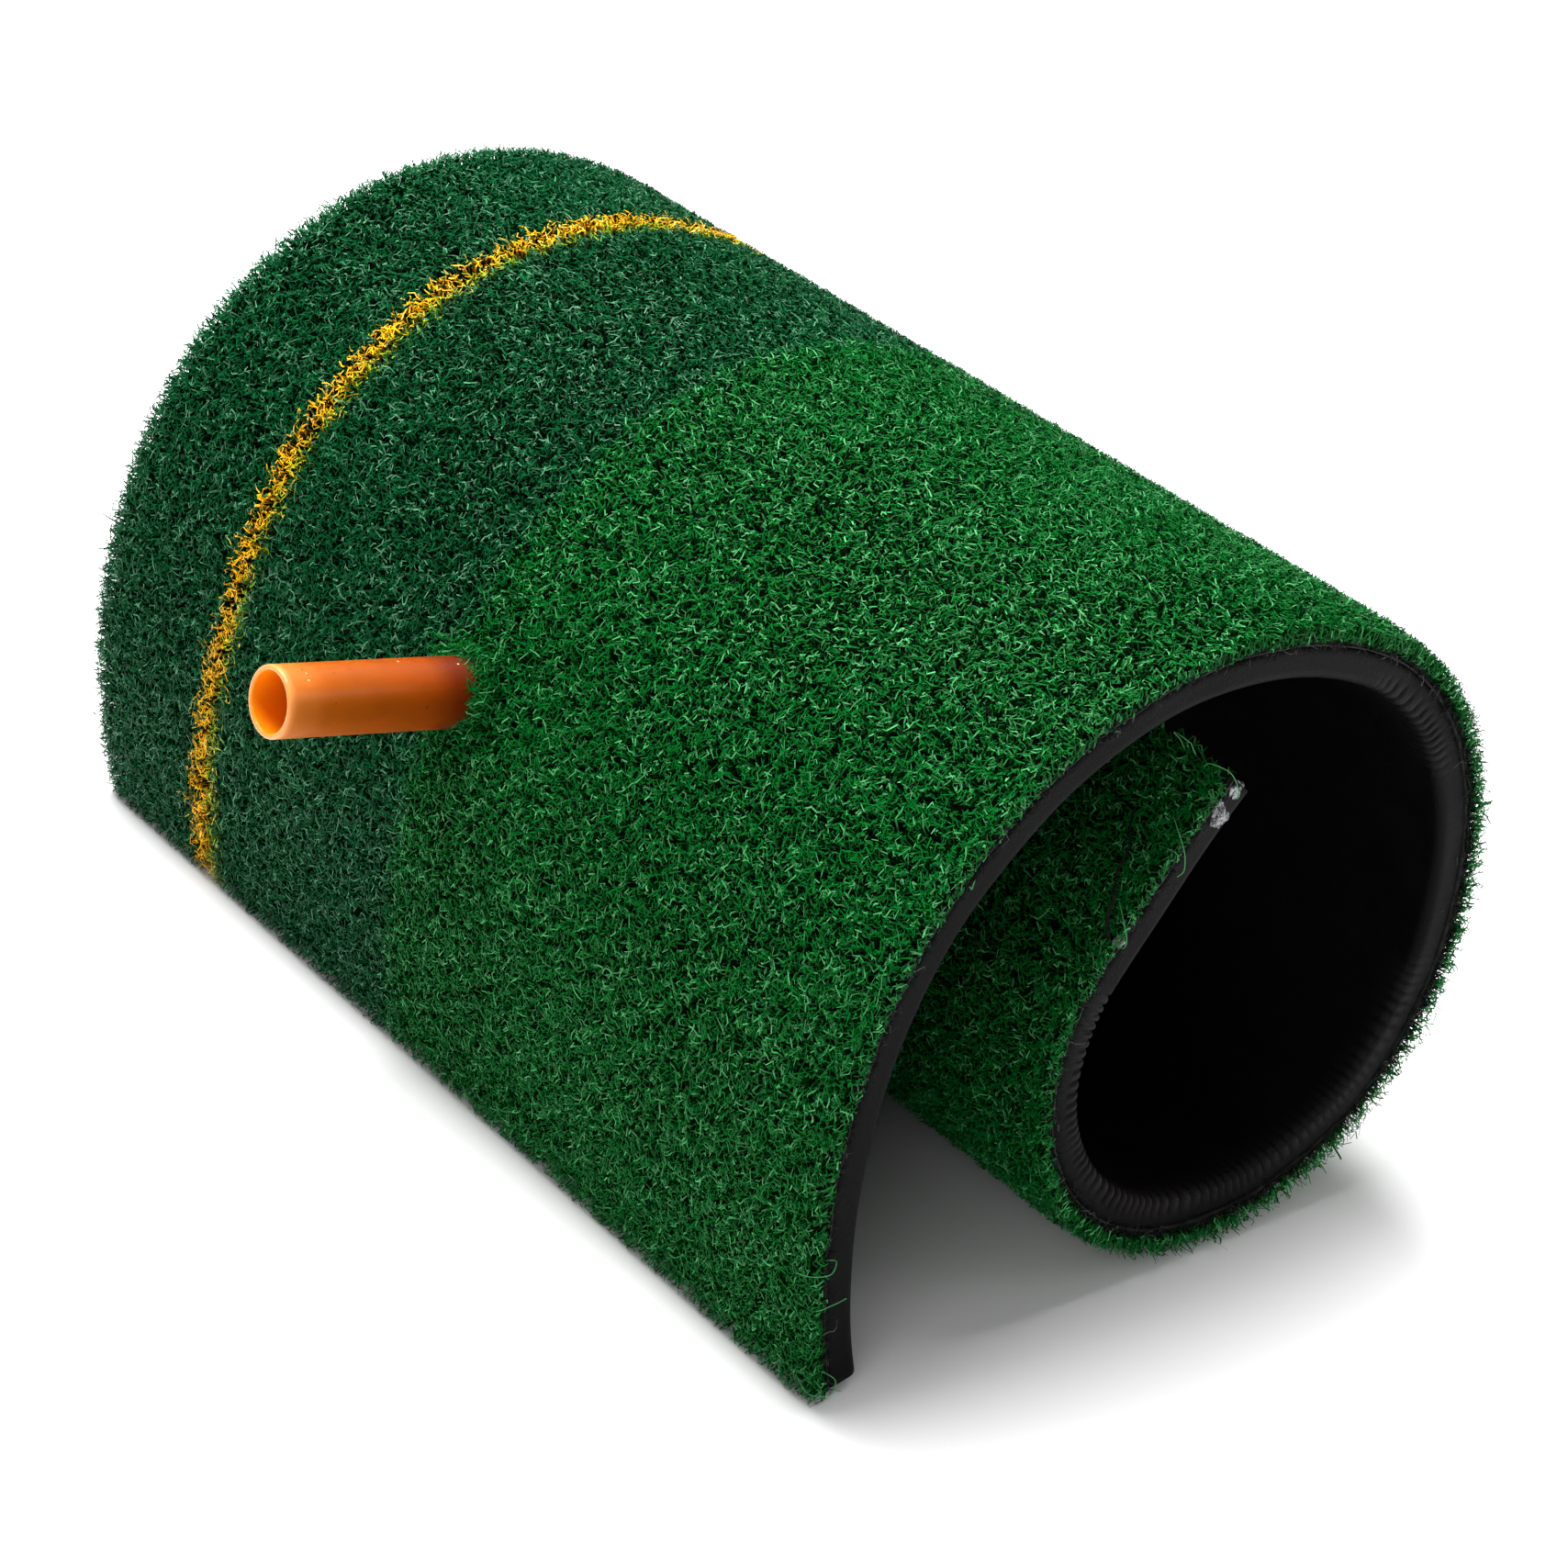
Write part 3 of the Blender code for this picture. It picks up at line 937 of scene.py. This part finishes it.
thread_material, thread_shader = new_material(
    "frayed_thread", {"Roughness": 0.6, "Specular IOR Level": 0.1}
)
tree = thread_material.node_tree
thread_colour = node(tree, "ShaderNodeValToRGB", [("Fac", attribute(tree, "tint"))])
greys = thread_colour.color_ramp.elements
greys[0].color, greys[1].color = (0.001, 0.001, 0.001, 1.0), (0.10, 0.11, 0.10, 1.0)
greys.new(0.88).color = (0.005, 0.006, 0.005, 1.0)
tree.links.new(thread_colour.outputs[0], thread_shader.inputs["Base Color"])

for side, name in ((-1, "near"), (1, "far")):
    seed += 1
    threads = edge_sheet(f"frayed_edge_{name}", side, THREAD_LAYERS)
    grow(
        threads,
        thread_material,
        seed,
        density=THREAD_DENSITY,
        blade_length=THREAD_LENGTH,
        blade_width=THREAD_WIDTH,
        pile_height=THREAD_HEIGHT,
        curl=THREAD_CURL,
        tilt=THREAD_TILT,
    )
    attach(threads, "mat")


# ---- Tee -------------------------------------------------------------------------------
# The tee is one moulding of soft translucent orange rubber: an open tube with a rolled
# lip, pushed out through the mat from inside, and a thin round flange that stops it
# against the foam.

TEE_RADIUS = 0.0083
TEE_BORE_RADIUS = 0.0070
TEE_ABOVE_PILE = 0.0515
FLANGE_RADIUS = 0.0200
FLANGE = (-0.0102, -0.0082)
FLANGE_FILLET = 0.0015
FLANGE_UNDER_RINGS = (0.0075, 0.0100, 0.0140, 0.0180)
FLANGE_UPPER_RINGS = (0.0170, 0.0130, 0.0110)
TUBE_FOOT = -0.010
BORE_FOOT = -0.014
TEE_SEGMENTS = 96
TUBE_STEP = 0.0015
TEE_NEIGHBOURHOOD = 0.04
BORE_LIT_DEPTH = 0.030

near_tee = np.abs(roll_along - TEE_ALONG) < TEE_NEIGHBOURHOOD


def sheet_height(offset, reach):
    """The height on the tee's axis at which the rolled surface at this offset passes, this
    far to the side."""
    surface = on_roll(roll_along[near_tee], TEE_ACROSS, offset) - np.array(tee_point)
    sideways = surface @ np.array(tee_side.cross(tee_axis))
    height = surface @ np.array(tee_axis)
    order = np.argsort(sideways)
    return np.interp(reach, sideways[order], height[order])


def tee_ring(radius, height=None, offset=None, lift=0.0):
    """A ring of points round the tee's axis, at one height or lying on an offset surface."""
    angle = np.linspace(0.0, 2 * math.pi, TEE_SEGMENTS, endpoint=False)
    x, y = radius * np.cos(angle), radius * np.sin(angle)
    up = np.full_like(angle, height) if offset is None else sheet_height(offset, x) + lift
    ring = np.stack([x, y, up, np.ones_like(angle)], axis=-1)
    return (ring @ np.array(tee_frame).T)[:, :3]


def tee_points():
    """The tee's rings, from the bore's foot round the flange, up the tube, over the lip
    and down the bore."""
    low, high = FLANGE
    edge = (high - low) / 2
    rim = FLANGE_RADIUS - edge
    under = (TEE_BORE_RADIUS, *FLANGE_UNDER_RINGS, rim)
    rings = [tee_ring(radius, offset=low) for radius in under]
    for degrees in (-60, -30, 0, 30, 60):
        turn = math.radians(degrees)
        reach = FLANGE_RADIUS - edge * (1 - math.cos(turn))
        rings.append(tee_ring(reach, offset=(low + high) / 2, lift=edge * math.sin(turn)))
    rings += [tee_ring(radius, offset=high) for radius in (rim, *FLANGE_UPPER_RINGS)]
    for outwards, lift in ((1.0, 0.0), (0.3, 0.3), (0.0, 1.0)):
        radius = TEE_RADIUS + outwards * FLANGE_FILLET
        rings.append(tee_ring(radius, offset=high, lift=lift * FLANGE_FILLET))
    lip_middle = (TEE_RADIUS + TEE_BORE_RADIUS) / 2
    lip_radius = (TEE_RADIUS - TEE_BORE_RADIUS) / 2
    lip_foot = TEE_ABOVE_PILE - lip_radius
    rings += [tee_ring(TEE_RADIUS, up) for up in np.arange(TUBE_FOOT, lip_foot, TUBE_STEP)]
    for degrees in range(0, 181, 20):
        turn = math.radians(degrees)
        radius = lip_middle + lip_radius * math.cos(turn)
        rings.append(tee_ring(radius, lip_foot + lip_radius * math.sin(turn)))
    down = np.arange(lip_foot - TUBE_STEP, BORE_FOOT, -TUBE_STEP)
    rings += [tee_ring(TEE_BORE_RADIUS, up) for up in down]
    return np.stack(rings)


def tee_mesh():
    rings = tee_points()
    count = len(rings)
    index = np.arange(count * TEE_SEGMENTS).reshape(count, TEE_SEGMENTS)
    faces = []
    for ring in range(count):
        here, there = index[ring], index[(ring + 1) % count]
        corners = (np.roll(here, -1), np.roll(there, -1), there, here)
        faces += np.stack(corners, axis=-1).tolist()
    mesh = bpy.data.meshes.new("tee_moulding")
    mesh.from_pydata(rings.reshape(-1, 3).tolist(), [], faces)
    mesh.shade_smooth()
    relative = rings - np.array(tee_point)
    height = relative @ np.array(tee_axis)
    across = np.linalg.norm(relative - height[..., None] * np.array(tee_axis), axis=-1)
    store(mesh, "height", height)
    store(mesh, "bore", across < TEE_BORE_RADIUS + 0.0002)
    return mesh


rubber, rubber_shader = new_material(
    "orange_rubber",
    {
        "Roughness": 0.30,
        "Specular IOR Level": 0.34,
        "Subsurface Weight": 0.55,
        "Subsurface Radius": (1.0, 0.32, 0.06),
        "Subsurface Scale": 0.003,
    },
)
tree = rubber.node_tree
place = own_place(tree)
height = attribute(tree, "height")
# Colour along the tee's axis: painted shade darkens the tube towards its foot in the pile, and a
# painted highlight lightens it towards the lip.
up = ranged(tree, height, from_min=-0.002, from_max=TEE_ABOVE_PILE)
shade = node(tree, "ShaderNodeValToRGB", [("Fac", up)])
ramp = shade.color_ramp.elements
ramp[0].position, ramp[0].color = 0.0, (0.07, 0.006, 0.0002, 1.0)
ramp[1].position, ramp[1].color = 1.0, (0.72, 0.31, 0.085, 1.0)
for position, colour in (
    (0.15, (0.13, 0.013, 0.0002, 1.0)),
    (0.28, (0.27, 0.043, 0.0004, 1.0)),
    (0.80, (0.36, 0.078, 0.0012, 1.0)),
    (0.96, (0.52, 0.150, 0.0180, 1.0)),
):
    ramp.new(position).color = colour
mottled = ranged(tree, noise(tree, 160.0, 3.0, place), to_min=0.8, to_max=1.2)
toned = node(tree, "ShaderNodeHueSaturation", [("Value", mottled), ("Color", shade.outputs[0])])
flecked, own = flecks(tree, place, 420.0, 0.13, 0.09, 0.72)
fleck_colour = node(tree, "ShaderNodeValToRGB", [("Fac", own)])
fleck_colour.color_ramp.interpolation = "CONSTANT"
fleck_colour.color_ramp.elements[0].color = (0.10, 0.012, 0.001, 1.0)
fleck_colour.color_ramp.elements[1].position = 0.55
fleck_colour.color_ramp.elements[1].color = (0.85, 0.50, 0.25, 1.0)
# Inside the bore, painted light: bright near the mouth, fading into painted shade deeper down.
lit_from = TEE_ABOVE_PILE - BORE_LIT_DEPTH
deep = ranged(tree, height, from_min=lit_from, from_max=TEE_ABOVE_PILE)
glow = mixed(tree, deep, (0.38, 0.050, 0.0002, 1.0), (0.90, 0.30, 0.004, 1.0))
bored = mixed(tree, attribute(tree, "bore"), toned.outputs[0], glow)
rubber_colour = mixed(tree, flecked, bored, fleck_colour.outputs[0])
dimpled = bump(tree, 0.15, 0.0002, noise(tree, 700.0, 2.0, place))
tree.links.new(rubber_colour, rubber_shader.inputs["Base Color"])
tree.links.new(dimpled, rubber_shader.inputs["Normal"])

tee = add_object("tee_moulding", tee_mesh())
tee.data.materials.append(rubber)
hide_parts("tee")
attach(tee, "tee")


# ---- Scraps ----------------------------------------------------------------------------
# Bits left from making, near the inner end: smears and a crumb of dried glue on the cut
# corner, a flat black thread of backing caught in the pile, and loose green fibres.

GLUE_BLOBS = (
    (0.5918, -0.1492, -0.0034, 0.0030),
    (0.5934, -0.1495, -0.0008, 0.0018),
    (0.5980, -0.1492, -0.0030, 0.0024),
    (0.5578, -0.1504, 0.0018, 0.0017),
)
BLOB_SQUASH = 0.40
SCRAP_WIDTH = 0.0011
SCRAP_THICKNESS = 0.0002
SCRAP_LENGTH = 0.04
SCRAP_PATH = (
    (0.5830, -0.1395, 0.0088), (0.5800, -0.1408, 0.0090), (0.5755, -0.1440, 0.0086),
    (0.5700, -0.1452, 0.0090), (0.5660, -0.1478, 0.0087), (0.5610, -0.1490, 0.0078),
    (0.5570, -0.1508, 0.0055),
)
FIBRE_RADIUS = 0.00011
FIBRE_PATHS = (
    (
        (0.5990, -0.139, 0.006), (0.6010, -0.139, 0.012), (0.6030, -0.142, 0.015),
        (0.6000, -0.145, 0.013), (0.599, -0.1445, 0.009),
    ),
    (
        (0.5980, -0.146, 0.006), (0.5990, -0.149, 0.009), (0.6000, -0.1525, 0.006),
        (0.5985, -0.1530, 0.001), (0.597, -0.152, -0.002),
    ),
    (
        (0.5860, -0.147, 0.006), (0.5840, -0.151, 0.007), (0.5810, -0.1535, 0.004),
        (0.5780, -0.1530, 0.000), (0.576, -0.151, -0.002),
    ),
    (
        (0.5650, -0.148, 0.006), (0.5620, -0.152, 0.006), (0.5590, -0.1530, 0.003),
        (0.5570, -0.1515, 0.001), (0.558, -0.149, 0.002),
    ),
    (
        (0.0330, -0.147, 0.006), (0.0340, -0.151, 0.005), (0.0350, -0.1535, 0.002),
        (0.0370, -0.1525, 0.000), (0.036, -0.150, 0.001),
    ),
    (
        (0.0250, -0.147, 0.005), (0.0247, -0.151, 0.004), (0.0255, -0.1525, 0.000),
        (0.0262, -0.1530, -0.003),
    ),
    (
        (0.0050, -0.147, 0.006), (0.0030, -0.151, 0.006), (0.0035, -0.1545, 0.003),
        (0.0060, -0.1540, 0.001), (0.007, -0.151, 0.002),
    ),
)


def blob_mesh(name, along, across, offset, size):
    """A flat lumpy drop of dried glue on the cut edge."""
    shape = bmesh.new()
    bmesh.ops.create_icosphere(shape, subdivisions=4, radius=size)
    for corner in shape.verts:
        way = corner.co.normalized()
        lump = 1 + 0.2 * math.sin(5 * way.x + 400 * along) * math.sin(4 * way.z + 3)
        corner.co *= lump + 0.06 * math.sin(17 * way.x)
        corner.co.y *= BLOB_SQUASH
    mesh = bpy.data.meshes.new(name)
    shape.transform(Matrix.Translation(on_roll(along, across, offset).tolist()))
    shape.to_mesh(mesh)
    shape.free()
    mesh.shade_smooth()
    return mesh


def smooth_path(points, steps):
    """A Catmull-Rom line through points given as (along, across, offset)."""
    rough = np.array([points[0], *points, points[-1]], float)
    line = []
    for a, b, c, d in zip(rough, rough[1:], rough[2:], rough[3:]):
        for share in np.linspace(0.0, 1.0, steps, endpoint=False):
            bend = 2 * a - 5 * b + 4 * c - d + share * (3 * b - a - 3 * c + d)
            line.append(b + 0.5 * share * (c - a + share * bend))
    line.append(rough[-2])
    return on_roll(*np.array(line).T)


crumb_material, crumb_shader = new_material(
    "dried_glue",
    {
        "Roughness": 0.4,
        "Subsurface Weight": 0.4,
        "Subsurface Radius": (0.001, 0.001, 0.001),
    },
)
tree = crumb_material.node_tree
streaks = noise(tree, 900.0, 4.0, own_place(tree), Distortion=1.5)
crumb_colour = node(tree, "ShaderNodeValToRGB", [("Fac", streaks)])
tones = crumb_colour.color_ramp.elements
tones[0].position, tones[0].color = 0.44, (0.010, 0.010, 0.011, 1.0)
tones[1].position, tones[1].color = 0.60, (0.40, 0.41, 0.43, 1.0)
tree.links.new(crumb_colour.outputs[0], crumb_shader.inputs["Base Color"])
tree.links.new(bump(tree, 0.6, 0.0003, streaks), crumb_shader.inputs["Normal"])

for number, blob in enumerate(GLUE_BLOBS, start=1):
    name = f"dried_glue_{number}"
    crumb = add_object(name, blob_mesh(name, *blob))
    crumb.data.materials.append(crumb_material)
    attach(crumb, "mat")

scrap_line = smooth_path(SCRAP_PATH, 8)
scrap_side = np.gradient(scrap_line, axis=0)
scrap_side = np.cross(scrap_side, np.array([0.0, 1.0, 0.3]))
scrap_side *= SCRAP_WIDTH / 2 / np.linalg.norm(scrap_side, axis=1)[:, None]
scrap_mesh = grid_mesh(
    "backing_scrap",
    np.stack([scrap_line - scrap_side, scrap_line + scrap_side], axis=1),
    along=np.linspace(0.0, SCRAP_LENGTH, len(scrap_line))[:, None],
    across=np.array([0.0, SCRAP_WIDTH]),
)
scrap_mesh.materials.append(backing_material)
scrap = add_object("backing_scrap", scrap_mesh)
thicken = scrap.modifiers.new("tape", "SOLIDIFY")
thicken.thickness = SCRAP_THICKNESS
bake_modifiers(scrap)
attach(scrap, "mat")

fibre_curve = bpy.data.curves.new("loose_fibres", "CURVE")
fibre_curve.dimensions = "3D"
fibre_curve.bevel_depth = FIBRE_RADIUS
fibre_curve.bevel_resolution = 1
fibre_curve.use_fill_caps = True
for path in FIBRE_PATHS:
    line = smooth_path(path, 6)
    spline = fibre_curve.splines.new("POLY")
    spline.points.add(len(line) - 1)
    for knot, point in zip(spline.points, line):
        knot.co = (*point, 1.0)
drawn = add_object("loose_fibres_drawn", fibre_curve)
fibre_mesh = bpy.data.meshes.new_from_object(drawn)
bpy.data.objects.remove(drawn)
fibre_mesh.shade_smooth()
# With this rise and tint the loose fibres take the light pile's painted glint colour along their
# whole length.
for name, value in (("rise", 0.8), ("tint", 0.9)):
    store(fibre_mesh, name, np.full(len(fibre_mesh.vertices), value))
fibre_mesh.materials.append(light_pile)
fibres = add_object("loose_fibres", fibre_mesh)
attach(fibres, "mat")

bpy.data.objects.remove(cutter)
